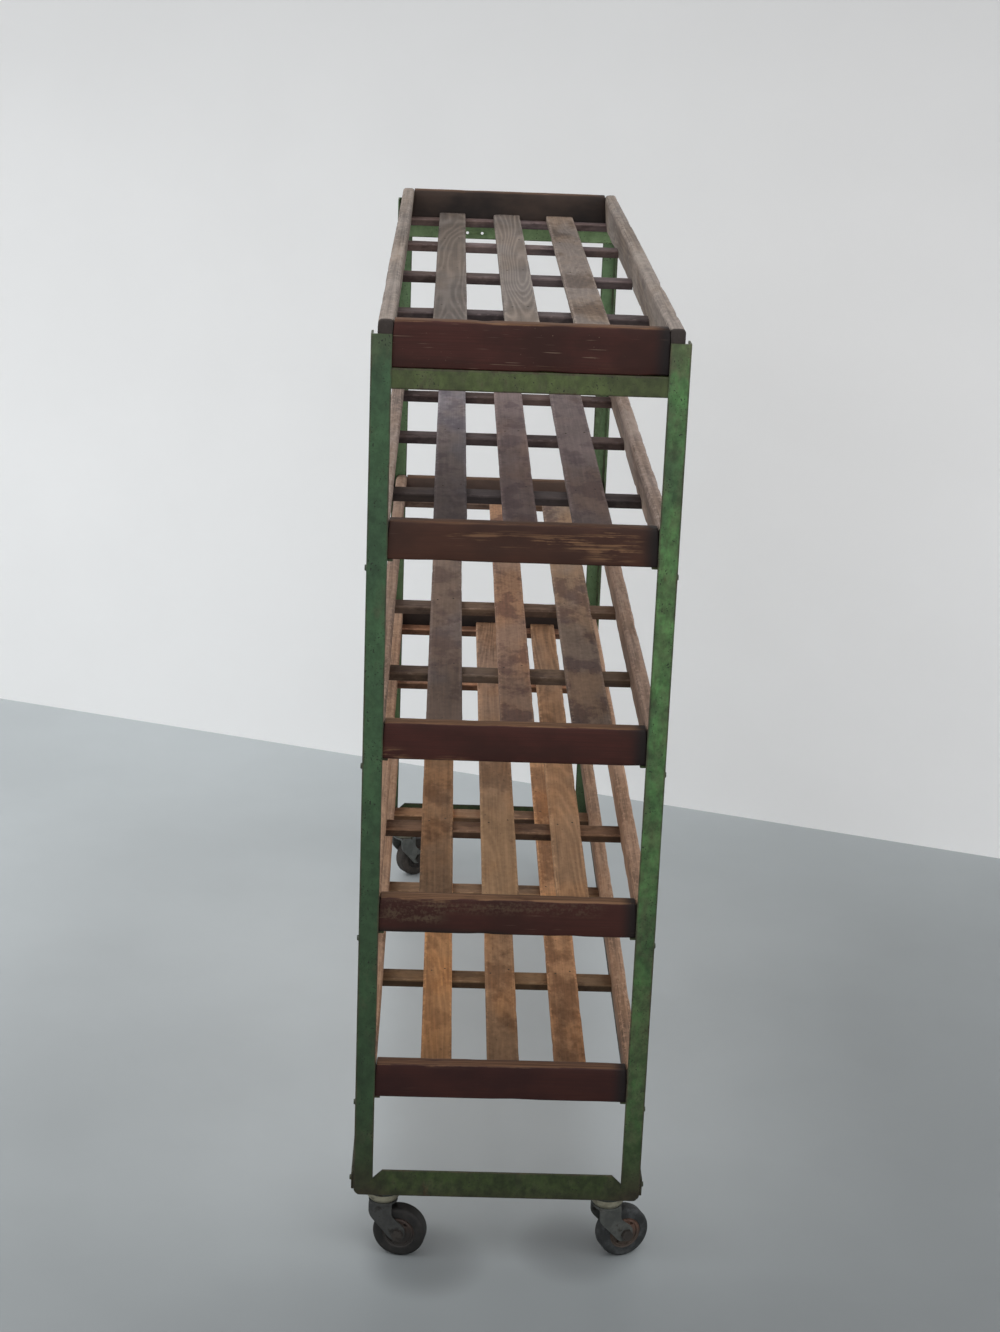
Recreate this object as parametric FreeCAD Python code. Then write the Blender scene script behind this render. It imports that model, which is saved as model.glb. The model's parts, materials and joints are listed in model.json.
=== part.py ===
import FreeCAD, Part
import math
import os

# Rolling storage rack: a welded frame of steel angle on four swivel casters,
# carrying five wooden trays with slatted floors.
# Millimetres, +Z up, +Y along the rack. The origin is on the floor under the
# middle of the frame. The front end faces -Y and left is -X.

os.makedirs("parts", exist_ok=True)

# Frame of rolled steel angle and flat bar
frame_width = 450.0  # over the outer faces of the posts
frame_length = 1585.0  # over the outer faces of the posts
angle_leg = 30.0  # posts and top rails
angle_wall = 3.0
angle_root_radius = 3.0  # fillet in the inner corner of an angle
base_rail_height = 45.0  # leg of the larger angle of the base end rails
base_corner_radius = 12.0  # outer bottom corners of the frame, ground round
side_bar_height = 30.0
side_bar_wall = 4.0
side_bar_lift = 8.0  # underside of the bar above the underside of the base
side_bar_setback = 4.0  # bar's end behind the end face of the post
post_reach = 48.0  # post above the underside of the top tray
cleat_leg = 35.0  # short angles under the tray's corners

# Two small holes in the rear top rail
rail_hole_radius = 3.0
rail_hole_spacing = 30.0
rail_hole_offset = -68.0  # middle of the pair from the middle of the rail
rail_hole_drop = 18.0  # below the top of the rail

# Levels of the trays' undersides above the underside of the base
lowest_tray_level = 171.0
tray_pitch = 279.0
wide_pitch = 306.0  # the taller space above the middle tray

# Wooden trays
tray_side_gap = 6.0  # between a tray and the side flange of a post
tray_end_gap = 1.0  # between a tray and the end flange of a post
tray_height = 58.0
top_tray_height = 68.0
side_rim_width = 24.0  # side board's thickness at its rim
side_foot_width = 18.0  # side board's thickness at its lower edge
side_end_radius = 8.0  # rounded upper corners at the ends of a side board
rim_radius = 5.0
end_board_wall = 23.0
end_rim_radius = 3.0
slat_width = 52.0
slat_wall = 10.0
slat_end_gap = 0.5
batten_width = 42.0
batten_wall = 14.0
end_batten_width = 30.0

# Places and widths of the three slats of each tray, top tray first
slat_place_shares = (
    (-0.266, -0.012, 0.236),
    (-0.245, 0.0, 0.252),
    (-0.243, 0.016, 0.280),
    (-0.255, -0.021, 0.241),
    (-0.234, 0.012, 0.259),
)
slat_width_shares = (
    (1.0, 1.02, 1.04),
    (0.98, 1.0, 1.14),
    (1.06, 1.0, 1.18),
    (1.0, 1.1, 0.97),
    (0.94, 0.98, 0.98),
)
# Places of the three inner battens along each tray, from its front end
batten_place_shares = (
    (0.264, 0.508, 0.748),
    (0.233, 0.498, 0.727),
    (0.248, 0.489, 0.750),
    (0.257, 0.500, 0.750),
    (0.262, 0.503, 0.745),
)

# Swivel casters
caster_inset_x = 47.0  # swivel axis from the outer side face of the frame
caster_inset_y = 30.0  # swivel axis from the outer end face of the frame
wheel_diameter = 84.0
tyre_width = 28.0
tyre_bevel_width = 3.0  # of the bevel between tread and side wall
tyre_bevel_drop = 2.0
tyre_wall = 16.0  # rubber between hub and tread
tyre_fit = 0.05
hub_proud = 1.0  # hub past the side wall of the tyre
hub_hole_radius = 2.8
hub_hole_share = 0.66  # of the hub's radius, circle that the holes lie on
hub_hole_turn = 52.0  # degrees, line of the holes above the level
trail = 28.0  # axle behind the swivel axis
axle_radius = 5.0
axle_flats = 17.0
axle_head_height = 6.0
axle_nut_height = 7.0
running_gap = 0.05  # radial, between a turning piece and its pin
fixed_gap = 0.1  # radial, between a bolt and a hole that it is clamped in
fork_side_gap = 0.5  # between hub and fork leg
fork_wall = 3.0
fork_bend_radius = 3.0  # inside of the fork's shoulder
fork_boss_radius = 11.0
fork_knee_radius = 14.0
fork_shoulder_radius = 24.0
fork_reach = 20.0  # fork behind and before the swivel axis
crown_radius = 23.0
crown_wall = 4.0
race_radius = 26.0
race_foot_radius = 22.0
race_height = 14.0
race_taper_share = 0.4  # of its height, lower part that narrows
dish_radius = 28.0
dish_wall = 5.0
swivel_gap = 0.3  # between the faces that turn on each other
king_radius = 6.0
king_head_radius = 9.5
king_head_height = 5.5
king_head_room = 2.5  # between the tread's height and the king bolt's head
king_nut_flats = 19.0
king_nut_height = 9.0
fork_front_share = 0.85  # of the fork's reach, edge of the leg towards the trail
fork_knee_share = 0.54  # of the leg's drop, above the axle
fork_shoulder_share = 0.56  # of the leg's drop, above the axle

cut_overrun = 5.0

# Corners of the rack and the way each caster points, in degrees from +X
corner_signs = {
    "front_left": (-1, -1),
    "front_right": (1, -1),
    "rear_left": (-1, 1),
    "rear_right": (1, 1),
}
caster_turns = {
    "front_left": -10.0,
    "front_right": 22.0,
    "rear_left": 38.0,
    "rear_right": -75.0,
}

# Sizes that follow for the casters, with the heights stacked up from the floor
axle_z = wheel_diameter / 2
hub_radius = wheel_diameter / 2 - tyre_wall
king_head_z = wheel_diameter + king_head_room
crown_under_z = king_head_z + king_head_height + swivel_gap
crown_top_z = crown_under_z + crown_wall
race_z = crown_top_z + swivel_gap
dish_z = race_z + race_height
base_z = dish_z + dish_wall

# Half sizes, and the levels of the trays from the top one down
half_width = frame_width / 2
half_length = frame_length / 2
tray_half_width = half_width - angle_wall - tray_side_gap
tray_half_length = half_length - angle_wall - tray_end_gap
cleat_length = angle_leg - angle_wall - angle_root_radius
pitches_down = (tray_pitch, wide_pitch, tray_pitch, tray_pitch)
top_tray_z = base_z + lowest_tray_level + sum(pitches_down)
tray_floors = [top_tray_z - sum(pitches_down[:count]) for count in range(len(pitches_down) + 1)]
tray_heights = [top_tray_height] + [tray_height] * len(pitches_down)
post_top_z = top_tray_z + post_reach

along_x = FreeCAD.Vector(1, 0, 0)
along_y = FreeCAD.Vector(0, 1, 0)
along_z = FreeCAD.Vector(0, 0, 1)


def outline(points, radii):
    """Face of a flat polygon whose corners are rounded by the given radii."""
    edges = []
    ends = []
    for index, corner in enumerate(points):
        radius = radii[index]
        before = points[index - 1] - corner
        after = points[(index + 1) % len(points)] - corner
        if radius == 0:
            ends.append((corner, corner))
            continue
        half_angle = before.getAngle(after) / 2
        before.normalize()
        after.normalize()
        middle = before + after
        middle.normalize()
        start = corner + before * (radius / math.tan(half_angle))
        finish = corner + after * (radius / math.tan(half_angle))
        crest = corner + middle * (radius / math.sin(half_angle) - radius)
        edges.append(Part.Arc(start, crest, finish).toShape())
        ends.append((start, finish))
    for index, pair in enumerate(ends):
        following = ends[(index + 1) % len(ends)][0]
        edges.append(Part.LineSegment(pair[1], following).toShape())
    return Part.Face(Part.Wire(Part.__sortEdges__(edges)))


def polygon(points):
    return Part.Face(Part.makePolygon(points + points[:1]))


def block(low, high):
    size = high - low
    return Part.makeBox(size.x, size.y, size.z, low)


def rod(radius, start, run):
    return Part.makeCylinder(radius, run.Length, start, run)


def hexagon(center, axis, across_flats, height):
    """Six-sided nut or bolt head that stands on center, along a level or upright axis."""
    reach = across_flats / math.sqrt(3)
    side = along_x if axis.dot(along_x) == 0 else along_y
    other = axis.cross(side)
    angles = [math.pi * step / 3 for step in range(6)]
    corners = [center + side * (reach * math.cos(a)) + other * (reach * math.sin(a)) for a in angles]
    return polygon(corners).extrude(axis * height)


def save(node, *solids):
    shape = solids[0] if len(solids) == 1 else Part.makeCompound(list(solids))
    shape.exportStep("parts/" + node + ".step")


def angle_bar(corner, leg_a, leg_b, run):
    """Length of rolled angle with its outer edge at corner and its two legs as given."""
    wall_a = FreeCAD.Vector(leg_a).normalize() * angle_wall
    wall_b = FreeCAD.Vector(leg_b).normalize() * angle_wall
    points = [
        corner,
        corner + leg_a,
        corner + leg_a + wall_b,
        corner + wall_a + wall_b,
        corner + leg_b + wall_a,
        corner + leg_b,
    ]
    radii = [0, 0, 0, angle_root_radius, 0, 0]
    return outline(points, radii).extrude(run)


def across_length(points, radii):
    """Prism over the whole length of the frame from an outline of (x, z) points."""
    start_y = -half_length - cut_overrun
    corners = [FreeCAD.Vector(x, start_y, z) for x, z in points]
    return outline(corners, radii).extrude(along_y * (frame_length + cut_overrun * 2))


# End view of the frame, with its two lower corners ground round
end_view = across_length(
    [
        (-half_width, base_z),
        (half_width, base_z),
        (half_width, post_top_z),
        (-half_width, post_top_z),
    ],
    [base_corner_radius, base_corner_radius, 0, 0],
)


def mitre_cut(side, keeps_post):
    """Waste on one side of the 45 degree joint between a post and a base end rail."""
    reach = max(angle_leg, base_rail_height) + cut_overrun
    outer = (side * (half_width + cut_overrun), base_z - cut_overrun)
    inner = (side * (half_width - reach), base_z + reach)
    if keeps_post:
        waste_corner = (inner[0], outer[1])
    else:
        waste_corner = (outer[0], inner[1])
    return across_length([outer, inner, waste_corner], [0, 0, 0])


def post(side, end):
    corner = FreeCAD.Vector(side * half_width, end * half_length, base_z)
    leg_a = along_x * (-side * angle_leg)
    leg_b = along_y * (-end * angle_leg)
    solid = angle_bar(corner, leg_a, leg_b, along_z * (post_top_z - base_z))
    return solid.common(end_view).cut(mitre_cut(side, True))


def base_rail(end):
    corner = FreeCAD.Vector(-half_width, end * half_length, base_z)
    leg_a = along_z * base_rail_height
    leg_b = along_y * (-end * base_rail_height)
    solid = angle_bar(corner, leg_a, leg_b, along_x * frame_width)
    solid = solid.common(end_view).cut(mitre_cut(-1, False)).cut(mitre_cut(1, False))
    for side in (-1, 1):
        foot = caster_axis(side, end) + along_z * (base_z - cut_overrun)
        solid = solid.cut(rod(king_radius + fixed_gap, foot, along_z * (cut_overrun * 2 + angle_wall)))
    return solid


def top_rail(end, has_holes):
    reach = half_width - angle_wall - angle_root_radius
    corner = FreeCAD.Vector(-reach, end * (half_length - angle_wall), top_tray_z)
    leg_a = along_z * -angle_leg
    leg_b = along_y * (-end * angle_leg)
    solid = angle_bar(corner, leg_a, leg_b, along_x * (reach * 2))
    if has_holes:
        for step in (-1, 1):
            hole_x = rail_hole_offset + step * rail_hole_spacing / 2
            start = FreeCAD.Vector(hole_x, corner.y + end * cut_overrun, top_tray_z - rail_hole_drop)
            through = along_y * (-end * (cut_overrun * 2 + angle_wall))
            solid = solid.cut(rod(rail_hole_radius, start, through))
    return solid


def side_bar(side):
    inner_x = side * half_width
    outer_x = side * (half_width + side_bar_wall)
    reach = half_length - side_bar_setback
    low_z = base_z + side_bar_lift
    low = FreeCAD.Vector(min(inner_x, outer_x), -reach, low_z)
    high = FreeCAD.Vector(max(inner_x, outer_x), reach, low_z + side_bar_height)
    return block(low, high)


def cleat(side, end, floor_z):
    """Short length of angle inside a post, with its level leg under a tray's corner."""
    start_y = end * (half_length - angle_wall - angle_root_radius)
    corner = FreeCAD.Vector(side * (half_width - angle_wall), start_y, floor_z)
    leg_a = along_x * (-side * cleat_leg)
    leg_b = along_z * -cleat_leg
    return angle_bar(corner, leg_a, leg_b, along_y * (-end * cleat_length))


def tray_half(floor_z, height, z):
    """Half the width between the leaning inner faces of a tray's side boards."""
    rim_half = tray_half_width - side_rim_width
    foot_half = tray_half_width - side_foot_width
    return foot_half + (rim_half - foot_half) * (z - floor_z) / height


def between_sides(floor_z, height, low, high, start_y, run_y):
    """Cross piece of a tray, cut to meet both side boards."""
    low_half = tray_half(floor_z, height, low)
    high_half = tray_half(floor_z, height, high)
    corners = [
        FreeCAD.Vector(-low_half, start_y, low),
        FreeCAD.Vector(low_half, start_y, low),
        FreeCAD.Vector(high_half, start_y, high),
        FreeCAD.Vector(-high_half, start_y, high),
    ]
    return polygon(corners).extrude(along_y * run_y)


def side_board(side, floor_z, height):
    rim_z = floor_z + height
    points = [
        (side * tray_half_width, floor_z),
        (side * tray_half_width, rim_z),
        (side * tray_half(floor_z, height, rim_z), rim_z),
        (side * tray_half(floor_z, height, floor_z), floor_z),
    ]
    solid = across_length(points, [0, rim_radius, rim_radius, 0])
    side_view = [
        FreeCAD.Vector(-half_width, -tray_half_length, floor_z),
        FreeCAD.Vector(-half_width, tray_half_length, floor_z),
        FreeCAD.Vector(-half_width, tray_half_length, rim_z),
        FreeCAD.Vector(-half_width, -tray_half_length, rim_z),
    ]
    trim = outline(side_view, [0, 0, side_end_radius, side_end_radius])
    return solid.common(trim.extrude(along_x * frame_width))


def end_board(end, floor_z, height):
    rim_z = floor_z + height
    outer_y = end * tray_half_length
    inner_y = end * (tray_half_length - end_board_wall)
    solid = between_sides(floor_z, height, floor_z, rim_z, outer_y, inner_y - outer_y)
    side_view = [
        FreeCAD.Vector(-half_width, outer_y, floor_z),
        FreeCAD.Vector(-half_width, inner_y, floor_z),
        FreeCAD.Vector(-half_width, inner_y, rim_z),
        FreeCAD.Vector(-half_width, outer_y, rim_z),
    ]
    trim = outline(side_view, [0, 0, end_rim_radius, end_rim_radius])
    return solid.common(trim.extrude(along_x * frame_width))


def battens(floor_z, height, place_shares):
    """Cross battens under the slats: three along the tray and one at each end."""
    top_z = floor_z + batten_wall
    inner_reach = tray_half_length - end_board_wall
    starts = [(-inner_reach, end_batten_width), (inner_reach - end_batten_width, end_batten_width)]
    for share in place_shares:
        middle_y = -tray_half_length + share * tray_half_length * 2
        starts.append((middle_y - batten_width / 2, batten_width))
    return [between_sides(floor_z, height, floor_z, top_z, start_y, run_y) for start_y, run_y in starts]


def slats(floor_z, place_shares, width_shares):
    """Three boards along the tray that lie on its battens."""
    low_z = floor_z + batten_wall
    high_z = low_z + slat_wall
    reach = tray_half_length - end_board_wall - slat_end_gap
    solids = []
    for place, width in zip(place_shares, width_shares):
        middle_x = place * tray_half_width * 2
        half = slat_width * width / 2
        low = FreeCAD.Vector(middle_x - half, -reach, low_z)
        high = FreeCAD.Vector(middle_x + half, reach, high_z)
        solids.append(block(low, high))
    return solids


def caster_axis(side, end):
    """Point on the floor under a caster's swivel axis."""
    return FreeCAD.Vector(side * (half_width - caster_inset_x), end * (half_length - caster_inset_y), 0)


def turned(points, axis_point, axis):
    return polygon(points).revolve(axis_point, axis, 360)


# The casters' pieces are drawn with the swivel axis at the origin and the wheel
# trailing towards +X, and are then set down in the rack's corners.

axle_middle = FreeCAD.Vector(trail, 0, axle_z)
hub_half = tyre_width / 2 + hub_proud
leg_inner = hub_half + fork_side_gap
leg_outer = leg_inner + fork_wall


def wheel_ring(rims):
    """Solid turned about the axle from (radius, distance along the axle) points."""
    points = [axle_middle + along_x * radius + along_y * offset for radius, offset in rims]
    return turned(points, axle_middle, along_y)


def tyre():
    half = tyre_width / 2
    outer = wheel_diameter / 2
    inner = hub_radius + tyre_fit
    flank = [(inner, half), (outer - tyre_bevel_drop, half), (outer, half - tyre_bevel_width)]
    return wheel_ring(flank + [(radius, -offset) for radius, offset in reversed(flank)])


def hub():
    bore = axle_radius + running_gap
    flank = [(bore, hub_half), (hub_radius, hub_half)]
    solid = wheel_ring(flank + [(radius, -offset) for radius, offset in reversed(flank)])
    lean = math.radians(hub_hole_turn)
    spoke = (along_x * math.cos(lean) + along_z * math.sin(lean)) * (hub_radius * hub_hole_share)
    for step in (-1, 1):
        start = axle_middle + spoke * step - along_y * tyre_width
        solid = solid.cut(rod(hub_hole_radius, start, along_y * (tyre_width * 2)))
    return solid


def axle():
    """Axle bolt across the fork, with its nut drawn tight."""
    head_seat = axle_middle - along_y * leg_outer
    nut_seat = axle_middle + along_y * leg_outer
    head = hexagon(head_seat, -along_y, axle_flats, axle_head_height)
    nut = hexagon(nut_seat, along_y, axle_flats, axle_nut_height)
    shank = rod(axle_radius, head_seat, nut_seat - head_seat)
    return head.fuse([shank, nut])


def fork():
    """Fork bent from plate: a level crown, and two legs that narrow down to the axle."""
    drop = crown_top_z - axle_z
    front_x = fork_reach * fork_front_share
    low_z = axle_z - fork_boss_radius
    side_view = [
        (-fork_reach, crown_top_z),
        (front_x, crown_top_z),
        (front_x, axle_z + drop * fork_knee_share),
        (trail + fork_boss_radius, axle_z + fork_boss_radius),
        (trail + fork_boss_radius, low_z),
        (trail - fork_boss_radius, low_z),
        (-fork_reach, axle_z + drop * fork_shoulder_share),
    ]
    corners = [FreeCAD.Vector(x, -leg_outer, z) for x, z in side_view]
    radii = [0, 0, fork_knee_radius] + [fork_boss_radius] * 3 + [fork_shoulder_radius]
    blank = outline(corners, radii).extrude(along_y * (leg_outer * 2))
    end_view_points = [
        (-leg_outer, low_z),
        (-leg_outer, crown_top_z),
        (leg_outer, crown_top_z),
        (leg_outer, low_z),
        (leg_inner, low_z),
        (leg_inner, crown_under_z),
        (-leg_inner, crown_under_z),
        (-leg_inner, low_z),
    ]
    bend = fork_bend_radius
    outer_bend = fork_bend_radius + fork_wall
    bend_face = outline(
        [FreeCAD.Vector(-fork_reach, y, z) for y, z in end_view_points],
        [0, outer_bend, outer_bend, 0, 0, bend, bend, 0],
    )
    solid = blank.common(bend_face.extrude(along_x * (fork_reach + trail + fork_boss_radius)))
    crown = rod(crown_radius, along_z * crown_under_z, along_z * crown_wall)
    solid = solid.fuse(crown).removeSplitter()
    king_hole = rod(king_radius + running_gap, along_z * king_head_z, along_z * (crown_top_z - axle_z))
    axle_hole_start = axle_middle - along_y * (leg_outer + cut_overrun)
    axle_hole = rod(axle_radius + fixed_gap, axle_hole_start, along_y * ((leg_outer + cut_overrun) * 2))
    return solid.cut([king_hole, axle_hole])


def swivel_ring(rims):
    """Ring turned about the swivel axis from (radius, z) points, with a hole for the king bolt."""
    bore = king_radius + fixed_gap
    low = rims[0][1]
    high = rims[-1][1]
    rims = [(bore, low)] + rims + [(bore, high)]
    return turned([FreeCAD.Vector(radius, 0, z) for radius, z in rims], along_z * low, along_z)


def king_bolt():
    """Bolt up through fork, race, dish and rail, with its nut drawn tight on the rail."""
    nut_z = base_z + angle_wall
    head = rod(king_head_radius, along_z * king_head_z, along_z * king_head_height)
    shank = rod(king_radius, along_z * king_head_z, along_z * (nut_z - king_head_z))
    nut = hexagon(along_z * nut_z, along_z, king_nut_flats, king_nut_height)
    return head.fuse([shank, nut]).removeSplitter()


def set_down(solid, corner):
    """Copy of a caster's piece at a corner of the rack, turned as that caster stands."""
    side, end = corner_signs[corner]
    placed = solid.copy()
    placed.rotate(FreeCAD.Vector(0, 0, 0), along_z, caster_turns[corner])
    placed.translate(caster_axis(side, end))
    return placed


# Frame
for corner, (side, end) in corner_signs.items():
    save("post_" + corner, post(side, end))
save("top_rail_front", top_rail(-1, False))
save("top_rail_rear", top_rail(1, True))
save("base_rail_front", base_rail(-1))
save("base_rail_rear", base_rail(1))
save("side_bar_left", side_bar(-1))
save("side_bar_right", side_bar(1))

# Cleats under every tray but the top one, which lies on the top rails
cleats = []
for side, end in corner_signs.values():
    cleats.extend(cleat(side, end, floor_z) for floor_z in tray_floors[1:])
save("tray_cleats", *cleats)

# Trays, counted from the top
for index, floor_z in enumerate(tray_floors):
    tray = "tray_" + str(index + 1)
    height = tray_heights[index]
    save(tray + "_left_side", side_board(-1, floor_z, height))
    save(tray + "_right_side", side_board(1, floor_z, height))
    save(tray + "_front_end", end_board(-1, floor_z, height))
    save(tray + "_rear_end", end_board(1, floor_z, height))
    save(tray + "_battens", *battens(floor_z, height, batten_place_shares[index]))
    save(tray + "_slats", *slats(floor_z, slat_place_shares[index], slat_width_shares[index]))

# Casters
taper_z = race_z + race_height * race_taper_share
race_rims = [(race_foot_radius, race_z), (race_radius, taper_z), (race_radius, dish_z)]
dishes = []
races = []
kings = []
for corner in corner_signs:
    dishes.append(set_down(swivel_ring([(dish_radius, dish_z), (dish_radius, base_z)]), corner))
    races.append(set_down(swivel_ring(race_rims), corner))
    kings.append(set_down(king_bolt(), corner))
    save("fork_" + corner, set_down(fork(), corner))
    save("axle_" + corner, set_down(axle(), corner))
    save("hub_" + corner, set_down(hub(), corner))
    save("tyre_" + corner, set_down(tyre(), corner))
save("caster_dishes", *dishes)
save("race_rings", *races)
save("king_bolts", *kings)
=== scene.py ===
# %% [markdown]
# Rolling storage rack
#
# A tall, narrow rack: a green frame of steel angle on four swivel casters, with five shallow
# wooden trays whose floors are open slats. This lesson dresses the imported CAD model. The model
# is the frame for everything: each piece below is placed from the boxes of its CAD nodes, so
# nothing has to be fitted by eye.

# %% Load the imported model
import json
import math

import bpy
from mathutils import Matrix, Vector, noise


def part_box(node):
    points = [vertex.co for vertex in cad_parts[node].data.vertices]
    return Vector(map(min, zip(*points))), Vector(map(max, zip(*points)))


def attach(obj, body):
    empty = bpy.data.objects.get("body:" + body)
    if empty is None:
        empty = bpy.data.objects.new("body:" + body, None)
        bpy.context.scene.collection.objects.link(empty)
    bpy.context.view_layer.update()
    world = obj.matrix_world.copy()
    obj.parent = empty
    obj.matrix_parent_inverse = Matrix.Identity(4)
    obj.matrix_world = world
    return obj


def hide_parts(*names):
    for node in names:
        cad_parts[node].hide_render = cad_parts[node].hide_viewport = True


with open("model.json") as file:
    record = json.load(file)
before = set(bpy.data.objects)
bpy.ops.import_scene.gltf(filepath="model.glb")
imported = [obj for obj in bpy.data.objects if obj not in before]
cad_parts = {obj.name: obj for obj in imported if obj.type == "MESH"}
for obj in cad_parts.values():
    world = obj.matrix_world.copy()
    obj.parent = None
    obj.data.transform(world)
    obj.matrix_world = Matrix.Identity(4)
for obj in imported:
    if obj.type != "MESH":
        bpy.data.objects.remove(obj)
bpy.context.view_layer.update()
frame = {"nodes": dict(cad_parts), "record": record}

nodes = frame["nodes"]
joints = {joint["name"]: joint for joint in frame["record"]["behaviour"]["joints"]}

# %% [markdown]
# Measures
#
# The boxes of a few nodes give every level and edge that the pieces need. An angle's box is as
# wide as its legs, so even the section of the steel can be read off. Only the wall and the
# roundings are typed here. All lengths are metres.

# %% Read the measures off the CAD boxes
CORNERS = {"front_left": (-1, -1), "front_right": (1, -1), "rear_left": (-1, 1), "rear_right": (1, 1)}
ENDS = {"front": -1, "rear": 1}
SIDES = {"left": -1, "right": 1}
TRAYS = (1, 2, 3, 4, 5)
WALL = 0.003
ROOT_R = 0.003
CORNER_R = 0.012
post_low, post_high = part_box("post_front_right")
rail_low, rail_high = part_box("base_rail_front")
HALF_W = post_high[0]
HALF_L = -post_low[1]
LEG = post_high[0] - post_low[0]
BASE_LEG = rail_high[2] - rail_low[2]
BASE_Z = rail_low[2]
POST_TOP = post_high[2]


def tray_measures(number):
    """Half width, half length, floor, rim, and the inner half width at the foot and at the rim."""
    low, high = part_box("tray_%d_right_side" % number)
    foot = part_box("tray_%d_front_end" % number)[1][0]
    return high[0], high[1], low[2], high[2], foot, low[0]


def solid_boxes(node):
    """Lowest and highest corners of each separate solid in a node, from front to rear and left to right."""
    mesh = nodes[node].data
    spots = {}
    index = [spots.setdefault(tuple(round(c, 5) for c in v.co), len(spots)) for v in mesh.vertices]
    group = list(range(len(spots)))

    def leader(i):
        while group[i] != i:
            group[i] = group[group[i]]
            i = group[i]
        return i

    for face in mesh.polygons:
        first = leader(index[face.vertices[0]])
        for vertex in face.vertices[1:]:
            group[leader(index[vertex])] = first
    boxes = {}
    for spot, i in spots.items():
        low, high = boxes.setdefault(leader(i), (list(spot), list(spot)))
        for axis in range(3):
            low[axis] = min(low[axis], spot[axis])
            high[axis] = max(high[axis], spot[axis])
    return sorted(boxes.values(), key=lambda box: (round(box[0][1], 3), box[0][0]))


print("frame %.3f by %.3f m, base at %.3f m, post top at %.3f m" % (2 * HALF_W, 2 * HALF_L, BASE_Z, POST_TOP))

# %% [markdown]
# Shader shorthand
#
# Procedural wood and worn paint are mostly arithmetic on noise. Wiring that node by node hides
# the idea, so a socket is wrapped in a small class whose operators make Math nodes. One method
# makes every node. It finds sockets by identifier, because several nodes have sockets that share
# a name.


# %% Arithmetic on sockets
class Socket:
    """An output socket that can be added, multiplied and so on."""

    def __init__(self, graph, socket):
        self.graph = graph
        self.socket = socket

    def __add__(self, other):
        return self.graph.math("ADD", self, other)

    def __sub__(self, other):
        return self.graph.math("SUBTRACT", self, other)

    def __mul__(self, other):
        return self.graph.math("MULTIPLY", self, other)

    def __rsub__(self, other):
        return self.graph.math("SUBTRACT", other, self)

    __radd__ = __add__
    __rmul__ = __mul__

    def sin(self):
        return self.graph.math("SINE", self)

    def abs(self):
        return self.graph.math("ABSOLUTE", self)

    def step(self, low, high):
        """0 at low and 1 at high, smooth between them. A low above high turns it round."""
        values = {"Value": self, "From Min": low, "From Max": high}
        return self.graph.node("ShaderNodeMapRange", "Result", values, interpolation_type="SMOOTHSTEP")


# %% One material's nodes
class Graph:
    """The node tree of one material."""

    def __init__(self, name):
        self.material = bpy.data.materials.new(name)
        self.material.use_nodes = True
        self.tree = self.material.node_tree
        self.tree.nodes.clear()

    def node(self, kind, output, inputs, **settings):
        node = self.tree.nodes.new(kind)
        for key, value in settings.items():
            setattr(node, key, value)
        for key, value in inputs.items():
            socket = next(s for s in node.inputs if s.identifier == key)
            if isinstance(value, Socket):
                self.tree.links.new(value.socket, socket)
            else:
                socket.default_value = value
        if output:
            return Socket(self, next(s for s in node.outputs if s.identifier == output))

    def math(self, operation, a, b=0.0):
        return self.node("ShaderNodeMath", "Value", {"Value": a, "Value_001": b}, operation=operation)

    def place(self):
        """Object coordinates: every piece sits at the origin, so these are metres on the rack."""
        vector = self.node("ShaderNodeTexCoord", "Object", {})
        return [self.node("ShaderNodeSeparateXYZ", axis, {"Vector": vector}) for axis in "XYZ"]

    def vector(self, x, y, z):
        return self.node("ShaderNodeCombineXYZ", "Vector", {"X": x, "Y": y, "Z": z})

    def noise(self, vector, scale, detail=3.0, roughness=0.55):
        values = {"Vector": vector, "Scale": scale, "Detail": detail, "Roughness": roughness}
        return self.node("ShaderNodeTexNoise", "Fac", values)

    def attribute(self, name, output="Fac"):
        return self.node("ShaderNodeAttribute", output, {}, attribute_name=name)

    def mix(self, factor, a, b):
        a = a if isinstance(a, Socket) else (*a, 1.0)
        b = b if isinstance(b, Socket) else (*b, 1.0)
        values = {"Factor_Float": factor, "A_Color": a, "B_Color": b}
        return self.node("ShaderNodeMix", "Result_Color", values, data_type="RGBA")

    def brighten(self, color, factor):
        values = {"Vector": color, "Scale": factor}
        return self.node("ShaderNodeVectorMath", "Vector", values, operation="SCALE")

    def tint(self, color, factors):
        values = {"Vector": color, "Vector_001": factors}
        return self.node("ShaderNodeVectorMath", "Vector", values, operation="MULTIPLY")

    def finish(self, color, roughness, height, strength, distance, metallic=0.0, specular=0.5, alpha=1.0):
        bump = {"Height": height, "Strength": strength, "Distance": distance}
        values = {
            "Base Color": color,
            "Roughness": roughness,
            "Metallic": metallic,
            "Specular IOR Level": specular,
            "Alpha": alpha,
            "Normal": self.node("ShaderNodeBump", "Normal", bump),
        }
        shader = self.node("ShaderNodeBsdfPrincipled", "BSDF", values)
        self.node("ShaderNodeOutputMaterial", None, {"Surface": shader})
        return self.material
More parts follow.
